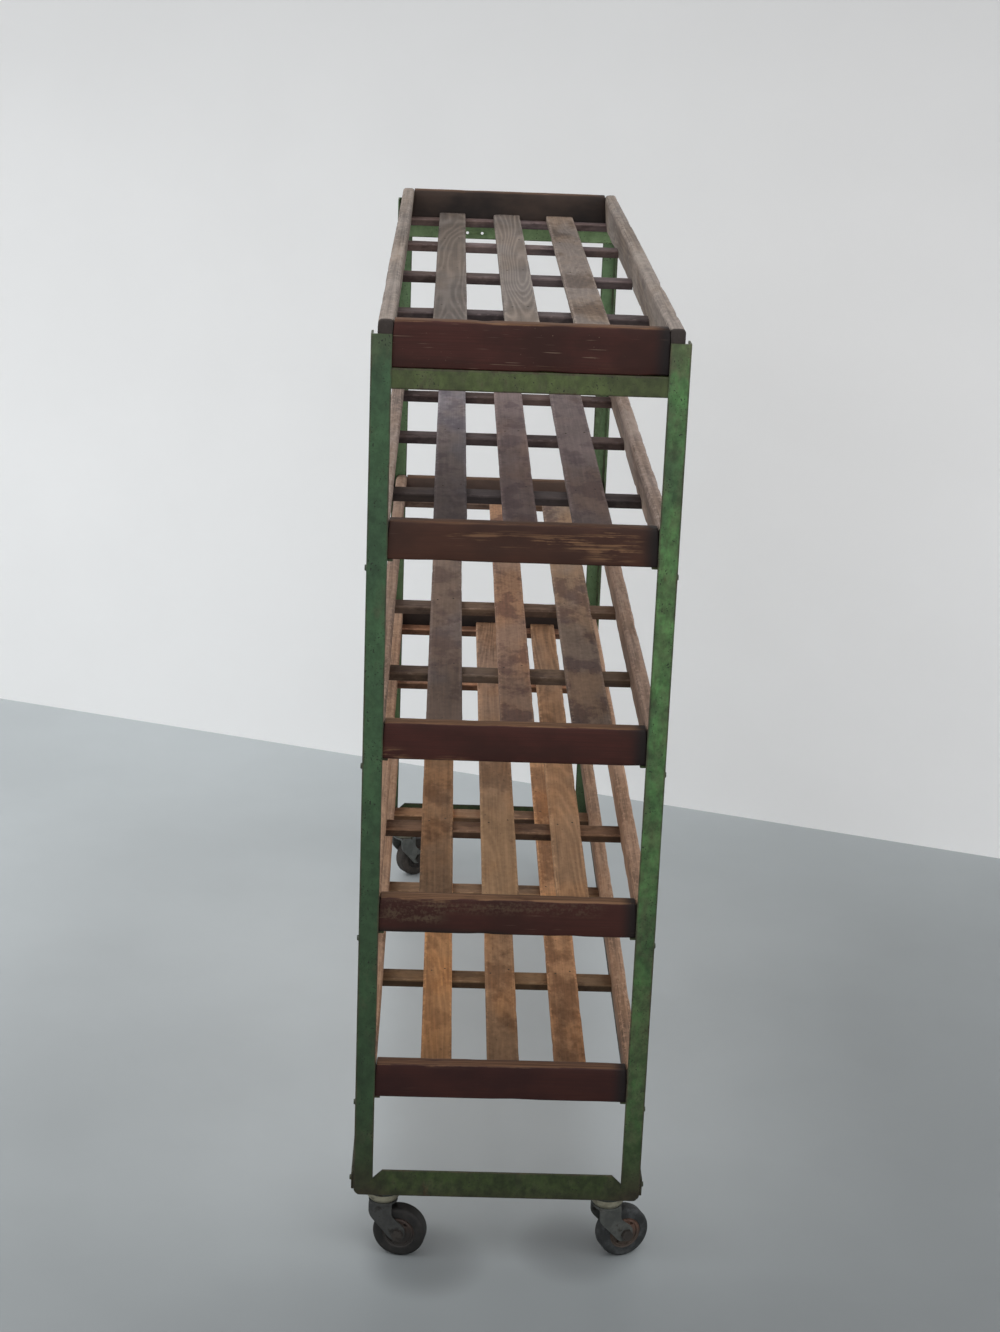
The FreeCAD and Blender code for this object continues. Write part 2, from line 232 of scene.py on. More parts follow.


# %% [markdown]
# Wood
#
# Growth rings on a flat-sawn board read as long nested arches. Contour lines of a slow noise that
# is stretched along the board give just that, with no need to model a trunk. Fibres, streaks and
# dark flecks go on top, and blotches of old dirt. Every board carries its own values: seed, so
# that no two boards share a pattern, tone, its colour, stain, how far the dirt covers it, and edge,
# which is 1 where its corners are rounded and rubbed and below 0 on flanks that get painted shade.
# One material can then serve boards of many colours.


# %% Bare wood
FLECK = (0.030, 0.021, 0.018)
END_GRAIN = (0.025, 0.019, 0.017)
WARMER = (1.25, 1.03, 0.76)
CHALKY = (1.6, 1.65, 1.6)
END_DIRT_FROM = 0.010
END_DIRT_FULL = 0.003


def wood(name, along, ring_count, ring_share, contrast, blotch, blot_scale, chalk=0.0, end_at=None):
    g = Graph(name)
    x, y, z = g.place()
    seed = g.attribute("seed")
    edge = g.attribute("edge")
    stain = g.attribute("stain")
    tone = g.attribute("tone", "Color")
    across, run = (x, y) if along == "Y" else (y, x)
    slow = g.noise(g.vector(across + seed * 3.7, run * 0.09 + seed * 1.3, z), 9.0, 1.6)
    rings = ((slow * ring_count).sin() + 1.0) * 0.5
    lines = rings * rings
    fibre = g.noise(g.vector(across + seed, run * 0.012, z), 430.0, 3.0)
    streak = g.noise(g.vector(across + seed * 1.9, run * 0.03, z), 90.0, 2.0)
    fleck = g.noise(g.vector(across, run * 0.3, z + seed), 240.0, 1.0).step(0.70, 0.78)
    patch = g.noise(g.vector(across * 0.7 + seed * 2.7, run * 0.6, z), 6.0, 3.0)
    blot = g.noise(g.vector(across + seed * 5.1, run * 0.5, z), blot_scale, 6.0, 0.64)
    mottle = g.noise(g.vector(across, run * 0.6, z + seed), 130.0, 3.0, 0.6)
    warm = g.noise(g.vector(across + seed * 4.3, run * 0.4, z), 9.0, 3.0)
    swing = (lines - 0.375) * (stain * -0.9 + 1.2) * ring_share + (fibre - 0.5) * 0.9 + (streak - 0.5) * 0.4
    swing = swing + (patch - 0.5) * 1.6 + (mottle - 0.5) * stain
    color = g.brighten(tone, swing * contrast + 1.0)
    color = g.mix(warm.step(0.42, 0.60) * (stain * 0.4 + 0.15), color, g.tint(color, WARMER))
    color = g.mix(blot.step(0.48, 0.58) * stain, color, g.tint(color, blotch))
    color = g.mix(fleck * 0.35, color, FLECK)
    rubbed = edge * (fibre.step(0.35, 0.6) * 0.3 + mottle.step(0.52, 0.60) * 0.4)
    color = g.mix(rubbed, color, g.brighten(tone, 1.8))
    # Painted shade: flanks whose edge is below 0 are darkened.
    color = g.mix(edge.step(-0.2, -1.0) * 0.85, color, g.brighten(color, 0.25))
    if chalk:
        pale = g.noise(g.vector(across, run * 0.22, z + seed), 150.0, 4.0, 0.65)
        chalked = (pale + (patch - 0.5) * 0.5).step(0.52, 0.66) * chalk
        color = g.mix(chalked, color, g.tint(tone, CHALKY))
    if end_at:
        tip = run.abs().step(end_at - END_DIRT_FROM, end_at - END_DIRT_FULL)
        color = g.mix(tip * 0.93, color, END_GRAIN)
    height = fibre * 0.7 + lines * ring_share - fleck * 0.6
    return g.finish(color, 0.66 + fibre * 0.24, height, 0.3, 0.0005, specular=0.22)


# %% [markdown]
# Stained end boards
#
# The ends were stained red-brown outside and have since been knocked about. Stain over wood is two
# colours and a mask. Every board is rubbed bare along its top, and its inner face is plain darkened
# wood. Beyond that each has its own wear: a list of boxes, in shares of the board, says where a
# board is worn and how much, and noise breaks the boxes up so that no straight edge shows. Shadow
# boxes paint a dark band of shade in the same way, and the right end of every board, beside the
# post, gets a painted shade.


# %% Worn stain over wood
BARE_DEEP = (0.078, 0.040, 0.023)
BARE_PALE = (0.200, 0.105, 0.056)
RUBBED_STAIN = (0.088, 0.058, 0.036)
SCRATCH = (0.16, 0.105, 0.075)
SHADOW_BAND = (0.010, 0.010, 0.008)
POST_SHADE = (0.010, 0.008, 0.008)
POST_SHADE_FROM = 0.166
POST_SHADE_FULL = 0.190
BACK_DEEP = (0.018, 0.014, 0.013)
BACK_PALE = (0.056, 0.037, 0.029)
BACK_FROM = 0.004
BACK_FULL = 0.002

# How softly a box of wear ends, in shares of the board.
SOFT_ALONG = 0.05
SOFT_UP = 0.12


def stained(name, number, stain, deep, rim_wear, scratches, worn_boxes, speckled_boxes=(), shadow_boxes=(),
            inside_light=1.0):
    g = Graph(name)
    half_w, half_l, floor_z, rim_z, foot, rim = tray_measures(number)
    inner_y = -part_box("tray_%d_front_end" % number)[1][1]
    x, y, z = g.place()
    along = (x + foot) * (0.5 / foot)
    up = (z - floor_z) * (1.0 / (rim_z - floor_z))
    seed = g.attribute("seed")
    edge = g.attribute("edge")
    fibre = g.noise(g.vector(x * 0.014, y + seed, z), 420.0, 3.0)
    cloud = g.noise(g.vector(x + seed, y, z * 1.6), 11.0, 4.0)
    ragged = g.noise(g.vector(x * 0.16 + seed * 2.3, y, z + seed), 75.0, 5.0, 0.66)
    speckle = g.noise(g.vector(x, y, z + seed), 230.0, 2.0, 0.6)
    dash = g.noise(g.vector(x * 0.04 + seed, y, z), 420.0, 1.0).step(0.69, 0.77)
    dot = g.noise(g.vector(x, y, z + seed), 430.0, 0.0).step(0.83, 0.86)

    def inside(box):
        left, right, low, high, amount = box
        wide = along.step(left - SOFT_ALONG, left + SOFT_ALONG)
        wide = wide * along.step(right + SOFT_ALONG, right - SOFT_ALONG)
        return wide * up.step(low - SOFT_UP, low + SOFT_UP) * up.step(high + SOFT_UP, high - SOFT_UP) * amount

    color = g.mix(cloud.step(0.36, 0.66), deep, stain)
    color = g.mix(fibre.step(0.42, 0.66) * 0.5, color, deep)
    bare = g.mix(fibre.step(0.34, 0.66), BARE_DEEP, BARE_PALE)
    brow = (up + (ragged - 0.5) * 0.16).step(0.95, 0.99) * 0.95
    worn = (brow + edge * ragged.step(0.54, 0.66) * 0.3) * rim_wear
    for box in worn_boxes:
        worn = worn + inside(box) * (ragged + (fibre - 0.5) * 0.4).step(0.45, 0.62)
    worn = worn.step(0.0, 1.0)
    for box in speckled_boxes:
        rubbed = inside(box) * (speckle * 0.45 + ragged * 0.55).step(0.44, 0.60)
        color = g.mix(rubbed, color, RUBBED_STAIN)
    color = g.mix(worn, color, bare)
    # Painted shadow: each shadow box darkens the board to near black.
    for box in shadow_boxes:
        color = g.mix(inside(box), color, SHADOW_BAND)
    # Painted shade: the right end of every board, beside the post, is darkened.
    color = g.mix(x.step(POST_SHADE_FROM, POST_SHADE_FULL) * 0.9, color, POST_SHADE)
    color = g.mix(dash * scratches + dot * scratches, color, SCRATCH)
    back = g.mix((cloud + (up - 0.5) * 0.3).step(0.26, 0.76), BACK_DEEP, BACK_PALE)
    back = g.brighten(back, inside_light)
    within = y.abs().step(inner_y + BACK_FROM, inner_y + BACK_FULL)
    color = g.mix(within, color, g.mix(worn * 0.5, back, bare))
    height = fibre * 0.5 - worn * 0.6 - dash * 0.3
    return g.finish(color, 0.52 + worn * 0.25, height, 0.3, 0.0005, specular=0.22)


# %% [markdown]
# Painted steel
#
# Old green paint: a bright and a deep green in clouds, brownish rubbed places, mostly near the edges,
# clusters of dark specks, and rust where the rack is knocked. The rust shares one mask between colour,
# roughness and bump, so it reads as one thing. Lower down the paint is darker, and the feet of the
# posts are as brown as the base rails that they run into. The rear steel has lighter copies of the
# paint, a painted light on its inner faces, and its outer face is turned back down to a darker green.


# %% Worn paint with rust
RUBBED_PAINT = (0.062, 0.060, 0.034)
FOOT_DIRT = (0.025, 0.030, 0.011)
RUST = (0.060, 0.030, 0.016)
EDGE_DIRT = (0.042, 0.034, 0.019)
CROWN_TONE = (0.120, 0.112, 0.058)
HEEL_DIRT = (0.024, 0.020, 0.010)
SPECK = (0.014, 0.015, 0.010)

# Each pair is where a change begins and where it is full: heights for the low colour, heights above
# the base rail's foot for the foot, hem and heel, and distances from the post's top and outer faces.
LOW = (1.1, 0.1)
FOOT = (0.17, 0.02)
HEM = (0.022, 0.002)
HEEL = (0.070, 0.020)
CROWN = (0.06, 0.015)
HEEL_INWARD = (0.065, 0.015)
OUTER_FACE = (0.002, 0.0005)


def paint(name, base, shade, low, rub_share, rust_share, gloss=0.42, mottled=0.3, outside=1.0,
          crown=0.0, grime=0.0):
    g = Graph(name)
    x, y, z = g.place()
    edge = g.attribute("edge")
    spot = g.vector(x, y, z)
    cloud = g.noise(g.vector(x, y, z * 0.45), 11.0, 4.0, 0.6)
    scuff = g.noise(g.vector(x, y * 0.6, z * 0.5), 42.0, 5.0, 0.7)
    fine = g.noise(spot, 420.0, 3.0)
    cluster = g.noise(spot, 24.0, 2.0).step(0.46, 0.60)
    speck = g.noise(spot, 300.0, 1.0).step(0.63, 0.70)
    rub = (scuff * 0.6 + cloud * 0.4 + edge * 0.10 + rub_share).step(0.49, 0.64)
    rust = (scuff * 0.55 + cloud * 0.45 + edge * 0.06 + rust_share).step(0.61, 0.69)
    foot = (z + (scuff - 0.5) * 0.16).step(BASE_Z + FOOT[0], BASE_Z + FOOT[1])
    color = g.mix(cloud.step(0.36, 0.62), shade, base)
    # Darker towards the bottom.
    color = g.mix(z.step(*LOW) * 0.75, color, low)
    # Painted light: the rear paints are lighter copies for lit inner faces; outside turns the outer face back
    # down.
    outer = y.step(HALF_L - OUTER_FACE[0], HALF_L - OUTER_FACE[1])
    color = g.brighten(color, outer * (outside - 1.0) + 1.0)
    color = g.mix(rub * 0.55, color, RUBBED_PAINT)
    color = g.mix(foot * 0.6, color, FOOT_DIRT)
    color = g.mix(rust * fine.step(0.3, 0.55) * 0.75, color, RUST)
    color = g.mix(edge * (scuff.step(0.4, 0.6) * 0.5 + 0.2), color, EDGE_DIRT)
    if crown:
        top = (z + (scuff - 0.5) * 0.10).step(POST_TOP - CROWN[0], POST_TOP - CROWN[1])
        color = g.mix(top * crown, color, CROWN_TONE)
    if grime:
        hem = (z + (scuff - 0.5) * 0.05).step(BASE_Z + HEM[0], BASE_Z + HEM[1])
        heel = (z + (scuff - 0.5) * 0.05).step(BASE_Z + HEEL[0], BASE_Z + HEEL[1])
        outward = x.abs() + (scuff - 0.5) * 0.07
        heel = heel * outward.step(HALF_W - HEEL_INWARD[0], HALF_W - HEEL_INWARD[1])
        color = g.mix((hem * 0.5 + heel * 0.75) * grime, color, HEEL_DIRT)
    mottle = g.noise(g.vector(x, y, z * 0.8), 75.0, 5.0, 0.65)
    color = g.brighten(color, mottle.step(0.3, 0.7) * mottled + (1.0 - mottled * 0.5))
    color = g.mix(speck * (cluster * 0.8 + 0.12), color, SPECK)
    height = fine * 0.3 - rust * 0.6 - speck * 0.4
    return g.finish(color, (fine - 0.5) * 0.12 + rust * 0.35 + gloss, height, 0.3, 0.0004, specular=0.35)


# %% Bare metals and rubber
LOW_DARK_FROM = 0.050
LOW_DARK_FULL = 0.036


def metal(name, base, dull, dirt, dirt_share, rough, metallic, low=None):
    g = Graph(name)
    x, y, z = g.place()
    spot = g.vector(x, y, z)
    cloud = g.noise(spot, 45.0, 4.0, 0.6)
    fine = g.noise(spot, 700.0, 2.0)
    grime = (cloud + dirt_share).step(0.55, 0.72)
    color = g.mix(cloud.step(0.35, 0.65), dull, base)
    color = g.mix(grime, color, dirt)
    if low:
        # Darker towards the bottom of the piece.
        color = g.mix((z + (cloud - 0.5) * 0.02).step(LOW_DARK_FROM, LOW_DARK_FULL) * 0.8, color, low)
    roughness = grime * 0.3 + fine * 0.1 + rough
    return g.finish(color, roughness, fine * 0.4 - grime * 0.5, 0.2, 0.0003, metallic=metallic)


def rubber(name, base, dust):
    g = Graph(name)
    x, y, z = g.place()
    spot = g.vector(x, y, z)
    cloud = g.noise(spot, 60.0, 4.0, 0.65)
    fine = g.noise(spot, 900.0, 3.0)
    dusty = (cloud + fine * 0.3).step(0.55, 0.95)
    color = g.mix(dusty, base, dust)
    return g.finish(color, dusty * 0.3 + 0.6, fine + cloud, 0.35, 0.0004, specular=0.3)


# %% [markdown]
# Palette
#
# Board colours are written as ordinary screen values from 0 to 255, because those are easy to set
# beside a photograph, and turned into linear light here. Each slat, each tray's pair of side boards
# and each tray's battens have one. The floors also get painted light and shade along their length: a
# slat has its own colour a quarter of the way back, a front end that may be painted darker, and a rear
# half mostly painted lighter. A tint goes with the painted light and greys the wood as it pales.


# %% Colours of the boards
def linear(*screen):
    return tuple(((c / 255 + 0.055) / 1.055) ** 2.4 if c > 10 else c / 3295 for c in screen)


# For each slat: its colour, its share of dirt, and how bright its front end and rear half are painted beside
# that, as painted light and shade.
SLAT_TONES = {
    1: (((105, 96, 90), 0.4, 1.0, 1.0), ((121, 112, 106), 0.3, 1.0, 0.9), ((128, 116, 108), 1.0, 1.0, 0.95)),
    2: (((83, 75, 76), 0.7, 0.6, 3.4), ((97, 82, 79), 0.7, 1.0, 2.4), ((102, 88, 85), 0.7, 1.0, 2.0)),
    3: (((104, 90, 84), 0.7, 0.65, 1.9), ((148, 118, 99), 1.0, 0.45, 1.4), ((116, 98, 86), 1.0, 1.0, 2.1)),
    4: (((142, 110, 83), 0.9, 0.4, 1.0), ((147, 116, 87), 0.7, 1.1, 1.5), ((160, 125, 95), 0.6, 1.0, 1.1)),
    5: (((181, 134, 92), 0.7, 0.4, 1.25), ((160, 124, 93), 1.0, 0.3, 1.0), ((173, 130, 95), 1.0, 0.5, 1.3)),
}
SIDE_TONES = {1: (126, 116, 109), 2: (140, 124, 115), 3: (135, 113, 99), 4: (150, 120, 99), 5: (146, 117, 96)}
# For the battens of each tray: their colour, and how much brighter the rear ones are painted beside it, a
# painted light.
BATTEN_TONES = {
    1: ((98, 86, 85), 1.25),
    2: ((80, 71, 70), 1.8),
    3: ((112, 95, 83), 1.4),
    4: ((132, 104, 84), 1.8),
    5: ((125, 102, 79), 1.8),
}
GREY_TINT = (0.93, 1.06, 1.12)
SLAT_LIGHT_TINTS = {1: GREY_TINT, 2: GREY_TINT, 3: (1.0, 1.03, 0.95), 4: (0.93, 1.06, 1.8), 5: GREY_TINT}
BATTEN_LIGHT_TINT = (1.1, 0.95, 1.0)
print("slats with a colour:", sum(len(row) for row in SLAT_TONES.values()))

# %% Wood of the slats, side boards and battens
PURPLE = (0.58, 0.54, 0.60)
BROWN = (0.60, 0.56, 0.54)
BATTEN_BLOTCH = (0.48, 0.46, 0.48)
SIDE_END_INSET = 0.004

SLAT_WOOD = {1: wood("slat_weathered", "Y", 210.0, 0.6, contrast=0.75, blotch=BROWN, blot_scale=12.0)}
for number in (2, 3):
    SLAT_WOOD[number] = wood("slat_worn_%d" % number, "Y", 120.0, 0.2, contrast=0.75, blotch=PURPLE,
                             blot_scale=17.0)
for number in (4, 5):
    SLAT_WOOD[number] = wood("slat_warm_%d" % number, "Y", 170.0, 0.42, contrast=0.85, blotch=BROWN,
                             blot_scale=11.0)
SIDE_WOOD = wood("side_board_rubbed", "Y", 120.0, 0.25, contrast=1.0, blotch=BROWN, blot_scale=20.0,
                 chalk=0.5, end_at=HALF_L - SIDE_END_INSET)
BATTEN_WOOD = wood("batten_plain", "X", 120.0, 0.25, contrast=0.8, blotch=BATTEN_BLOTCH, blot_scale=16.0)
print("materials so far:", len(bpy.data.materials))

# %% Stained wood of the end boards
# Each box of wear or of painted shadow is left, right, low, high and amount, the first four as shares of the
# board.
RED = (0.056, 0.016, 0.012)
DEEP_RED = (0.034, 0.011, 0.008)
END_WOOD = {
    1: stained("end_stain_1", 1, RED, DEEP_RED, rim_wear=0.68, scratches=0.8,
               worn_boxes=[(0.42, 0.8, 0.05, 0.2, 0.3)]),
    2: stained("end_stain_2", 2, (0.060, 0.024, 0.015), (0.042, 0.018, 0.012), rim_wear=0.40, scratches=0.2,
               worn_boxes=[(0.54, 0.74, 0.42, 0.75, 1.5), (0.74, 0.92, 0.15, 0.9, 1.1),
                           (0.22, 0.52, 0.4, 0.8, 0.7)]),
    3: stained("end_stain_3", 3, RED, DEEP_RED, rim_wear=0.9, scratches=0.0,
               worn_boxes=[(-0.1, 0.08, -0.2, 0.3, 0.9), (0.18, 0.3, -0.2, 0.1, 0.8)], inside_light=1.9),
    4: stained("end_stain_4", 4, (0.050, 0.015, 0.011), DEEP_RED, rim_wear=1.0, scratches=0.3,
               worn_boxes=[(0.0, 0.45, 0.8, 1.0, 0.5)],
               speckled_boxes=[(0.02, 0.24, 0.3, 0.9, 0.75), (0.20, 0.85, 0.60, 0.95, 0.55)],
               shadow_boxes=[(-0.1, 0.5, -0.3, 0.08, 1.0)]),
    5: stained("end_stain_5", 5, (0.040, 0.012, 0.009), (0.026, 0.008, 0.007), rim_wear=0.62, scratches=0.1,
               worn_boxes=[]),
}
print("end board materials:", len(END_WOOD))

# %% Green paints
# Paint is a bright green, a deep one and the one near the floor.
POST_PAINT = {
    -1: paint("post_green_left", (0.046, 0.100, 0.044), (0.035, 0.072, 0.035), (0.017, 0.031, 0.012),
              rub_share=-0.03, rust_share=-0.03, mottled=0.45, crown=0.3, grime=0.8),
    1: paint("post_green_right", (0.087, 0.210, 0.064), (0.045, 0.086, 0.038), (0.021, 0.047, 0.013),
             rub_share=0.06, rust_share=0.03, mottled=0.65, crown=0.45, grime=1.0),
}
# Lighter copies of the green for the rear steel, a painted light on its inner faces.
LIT_REAR_PAINT = paint("rear_green_lit", (0.144, 0.240, 0.115), (0.113, 0.186, 0.088), (0.064, 0.114, 0.042),
                   rub_share=-0.02, rust_share=-0.03, outside=0.65)
LIT_REAR_RAIL_PAINT = paint("rear_rail_green_lit", (0.28, 0.42, 0.20), (0.20, 0.30, 0.14), (0.14, 0.16, 0.08),
                        rub_share=-0.1, rust_share=-0.06, outside=0.4)
RAIL_PAINT = paint("rail_olive", (0.072, 0.096, 0.030), (0.050, 0.062, 0.022), (0.044, 0.048, 0.020),
                   rub_share=0.0, rust_share=0.02, mottled=0.5)
BASE_PAINT = paint("base_olive", (0.040, 0.098, 0.017), (0.022, 0.042, 0.009), (0.026, 0.050, 0.008),
                   rub_share=0.04, rust_share=0.04, gloss=0.5, mottled=0.8, grime=0.9)
BOLT_PAINT = paint("bolt_green", (0.030, 0.055, 0.028), (0.022, 0.040, 0.020), (0.018, 0.024, 0.012),
                   rub_share=0.1, rust_share=0.05)
print("materials so far:", len(bpy.data.materials))

# %% Metals and rubbers of the casters and nails
# A metal is its clean colour, its dull one and its dirt. The front right fork is a lighter copy of the left,
# a painted light, and the right hub's red rust is partly painted light.
FORK = {
    -1: metal("fork_zinc", (0.060, 0.061, 0.058), (0.038, 0.038, 0.036), (0.024, 0.021, 0.018),
              dirt_share=0.02, rough=0.55, metallic=0.4),
    # Painted light: a lighter copy of the left fork.
    1: metal("fork_pale_lit", (0.096, 0.099, 0.091), (0.059, 0.062, 0.057), (0.034, 0.031, 0.025),
             dirt_share=0.0, rough=0.55, metallic=0.4),
}
# Painted light: the rear forks are lightened against the shade that they sit in.
LIT_REAR_FORK = metal("fork_rear_lit", (0.170, 0.178, 0.166), (0.110, 0.115, 0.107), (0.060, 0.056, 0.048),
                  dirt_share=0.0, rough=0.55, metallic=0.4)
RACE = metal("race_bright", (0.30, 0.285, 0.21), (0.19, 0.175, 0.125), (0.08, 0.07, 0.05),
             dirt_share=0.0, rough=0.45, metallic=0.5)
DARK = metal("dish_dark", (0.030, 0.036, 0.028), (0.020, 0.024, 0.019), (0.03, 0.022, 0.015),
             dirt_share=0.0, rough=0.6, metallic=0.2)
BOLT = metal("bolt_dull", (0.048, 0.040, 0.034), (0.032, 0.027, 0.023), (0.022, 0.018, 0.015),
             dirt_share=0.02, rough=0.5, metallic=0.4)
NAIL = metal("nail_rusty", (0.060, 0.046, 0.038), (0.040, 0.030, 0.024), (0.050, 0.028, 0.018),
             dirt_share=0.05, rough=0.6, metallic=0.3)
TYRE = {
    -1: rubber("tyre_black", (0.010, 0.0095, 0.009), (0.034, 0.030, 0.027)),
    1: rubber("tyre_grey", (0.017, 0.018, 0.018), (0.070, 0.073, 0.074)),
}
# Dusty rubber, also lightened as a painted light against the shade of the rear casters.
LIT_REAR_TYRE = rubber("tyre_dusty_lit", (0.030, 0.025, 0.021), (0.085, 0.070, 0.060))
HUB_PAINT = {
    -1: metal("hub_brown", (0.046, 0.028, 0.021), (0.028, 0.018, 0.014), (0.022, 0.016, 0.013),
              dirt_share=0.04, rough=0.55, metallic=0.1, low=(0.016, 0.014, 0.012)),
    # Real red rust, partly lightened as a painted light.
    1: metal("hub_rust_red_lit", (0.120, 0.061, 0.041), (0.076, 0.041, 0.028), (0.055, 0.032, 0.022),
             dirt_share=0.0, rough=0.6, metallic=0.1, low=(0.036, 0.028, 0.020)),
}
print("materials:", len(bpy.data.materials))

# %% [markdown]
# Sweeps
#
# Boards, bars and angles are all one idea: an outline with rounded corners that runs along a
# straight line. Stations along the line let a long board wander by a fraction of a millimetre and
# lose chips from its corners, and two extra stations at each end round it off. The same builder
# also turns an outline about an axis, for wheels and rings.


# %% Outlines
def rounded(points, radii, steps=3):
    """Outline of a polygon with rounded corners, as (a, b, edge) with edge 1 on the roundings."""
    result = []
    for index, point in enumerate(points):
        corner = Vector(point)
        radius = radii[index]
        if radius == 0:
            result.append((corner.x, corner.y, 0.0))
            continue
        before = Vector(points[index - 1]) - corner
        after = Vector(points[(index + 1) % len(points)]) - corner
        half = before.angle(after) / 2
        before.normalize()
        after.normalize()
        centre = corner + (before + after).normalized() * (radius / math.sin(half))
        start = before * (radius / math.tan(half)) + corner - centre
        finish = after * (radius / math.tan(half)) + corner - centre
        for step in range(steps + 1):
            spoke = start.lerp(finish, step / steps).normalized() * radius
            result.append((centre.x + spoke.x, centre.y + spoke.y, 1.0))
    return result


def dense(outline, spacing):
    """Adds points on the long straight parts of an outline, which keeps edge to the roundings."""
    result = []
    for (a, b, edge), (a2, b2, edge2) in zip(outline, outline[1:] + outline[:1]):
        result.append((a, b, edge))
        count = int(math.hypot(a2 - a, b2 - b) / spacing)
        for i in range(1, count):
            result.append((a + (a2 - a) * i / count, b + (b2 - b) * i / count, 0.0))
    return result


def box_outline(low_a, high_a, low_b, high_b, radius, steps=2):
    points = [(low_a, low_b), (high_a, low_b), (high_a, high_b), (low_a, high_b)]
    return rounded(points, [radius] * 4, steps)


def even(start, end, count):
    """Evenly spaced places along a run, with square ends."""
    return [(start + (end - start) * i / count, 0.0) for i in range(count + 1)]


EASE_SHARE = 0.3


def eased(start, end, ease, count):
    """Places along a run as (distance, inset), drawn in over the length ease at both ends."""
    part = ease * EASE_SHARE
    first = [(start, ease), (start + part, part)]
    last = [(end - part, part), (end, ease)]
    return first + even(start + ease, end - ease, count) + last


# %% Sweeps and turned pieces
# How quickly the wander and the chips change along a board and across it.
DRIFT_A = 2.3
DRIFT_B = 1.9
CHIPS_ALONG = 23.0
CHIPS_ACROSS = 40.0
SHARP_ANGLE = math.radians(38)


class Pile:
    """Collects sweeps and turned pieces into one mesh, with each piece's own values on its points."""

    def __init__(self):
        self.points = []
        self.faces = []
        self.values = {"edge": [], "seed": [], "stain": []}
        self.tones = []

    def ring(self, points, edges, seed, tone, stain):
        start = len(self.points)
        self.points.extend(points)
        self.values["edge"].extend(edges)
        self.values["seed"].extend([seed] * len(points))
        self.values["stain"].extend([stain] * len(points))
        self.tones.extend([*tone, 1.0] * len(points))
        return list(range(start, start + len(points)))

    def join(self, one, other):
        for i in range(len(one)):
            k = (i + 1) % len(one)
            self.faces.append((one[i], one[k], other[k], other[i]))

    def sweep(self, outline, runs, place, seed, wander=0.0, chip=0.0, tone=(1, 1, 1), stain=0.0):
        """Runs an outline along a line, where place(a, b, distance) gives the point in space.

        The tone is a colour, or a function that gives the colour at a distance.
        """
        mid_a = (min(p[0] for p in outline) + max(p[0] for p in outline)) / 2
        mid_b = (min(p[1] for p in outline) + max(p[1] for p in outline)) / 2
        rings = []
        for distance, inset in runs:
            points = []
            edges = []
            drift_a = noise.noise((distance * DRIFT_A, seed * 9.1, 0.0)) * wander
            drift_b = noise.noise((distance * DRIFT_B, seed * 5.7, 7.0)) * wander
            for a, b, edge in outline:
                loss = inset
                if chip and edge > 0:
                    bite = noise.noise((distance * CHIPS_ALONG, a * CHIPS_ACROSS + seed, b * CHIPS_ACROSS))
                    loss += chip * max(0.0, bite) ** 2
                to_a = a - mid_a
                to_b = b - mid_b
                a -= math.copysign(min(loss, abs(to_a)), to_a)
                b -= math.copysign(min(loss, abs(to_b)), to_b)
                points.append(place(a + drift_a, b + drift_b, distance))
                edges.append(1.0 if inset else edge)
            rings.append(self.ring(points, edges, seed, tone(distance) if callable(tone) else tone, stain))
        for one, other in zip(rings, rings[1:]):
            self.join(one, other)
        self.faces.append(tuple(reversed(rings[0])))
        self.faces.append(tuple(rings[-1]))

    def turn(self, outline, matrix, steps, seed):
        """Turns an outline of (radius, height) about the Z axis of a matrix."""
        rings = []
        for step in range(steps):
            angle = 2 * math.pi * step / steps
            points = [matrix @ Vector((r * math.cos(angle), r * math.sin(angle), h)) for r, h, e in outline]
            rings.append(self.ring(points, [e for r, h, e in outline], seed, (1, 1, 1), 0.0))
        for one, other in zip(rings, rings[1:] + rings[:1]):
            self.join(one, other)

    def build(self, name, material):
        mesh = bpy.data.meshes.new(name)
        mesh.from_pydata(self.points, [], self.faces)
        for key, values in self.values.items():
            mesh.attributes.new(key, "FLOAT", "POINT").data.foreach_set("value", values)
        mesh.attributes.new("tone", "FLOAT_COLOR", "POINT").data.foreach_set("color", self.tones)
        mesh.polygons.foreach_set("use_smooth", [True] * len(mesh.polygons))
        mesh.set_sharp_from_angle(angle=SHARP_ANGLE)
        mesh.materials.append(material)
        piece = bpy.data.objects.new(name, mesh)
        bpy.context.scene.collection.objects.link(piece)
        return piece


# %% What a finished piece needs
def settle(piece, body, slot, *replaced):
    """Makes a piece ride on its body and stand for its CAD nodes; its slot is not used."""
    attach(piece, body)
    if replaced:
        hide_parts(*replaced)


def pierce(piece, tools):
    """Cuts the solids of a pile out of a piece and keeps the result as a plain mesh."""
    cutter = tools.build("cutter", piece.data.materials[0])
    cut = piece.modifiers.new("holes", "BOOLEAN")
    cut.object = cutter
    bpy.context.view_layer.update()
    mesh = bpy.data.meshes.new_from_object(piece.evaluated_get(bpy.context.evaluated_depsgraph_get()))
    piece.modifiers.remove(cut)
    piece.data = mesh
    bpy.data.objects.remove(cutter)


def circle(radius, count):
    angles = [2 * math.pi * i / count for i in range(count)]
    return [(radius * math.cos(angle), radius * math.sin(angle), 0.0) for angle in angles]


# %% [markdown]
# Trays
#
# Each tray is a shallow box: two side boards that lean in slightly, two end boards between them,
# battens across the bottom and three slats on the battens. All of them are sweeps of rounded
# outlines. The places of slats and battens come from the separate solids of the CAD nodes, so the
# boards lie where the model has them.


# %% How boards run and fade
# Roundings of the boards' edges.
RIM_R = 0.006
FOOT_R = 0.0015
END_R = 0.003
SLAT_R = 0.0018
BATTEN_R = 0.0012

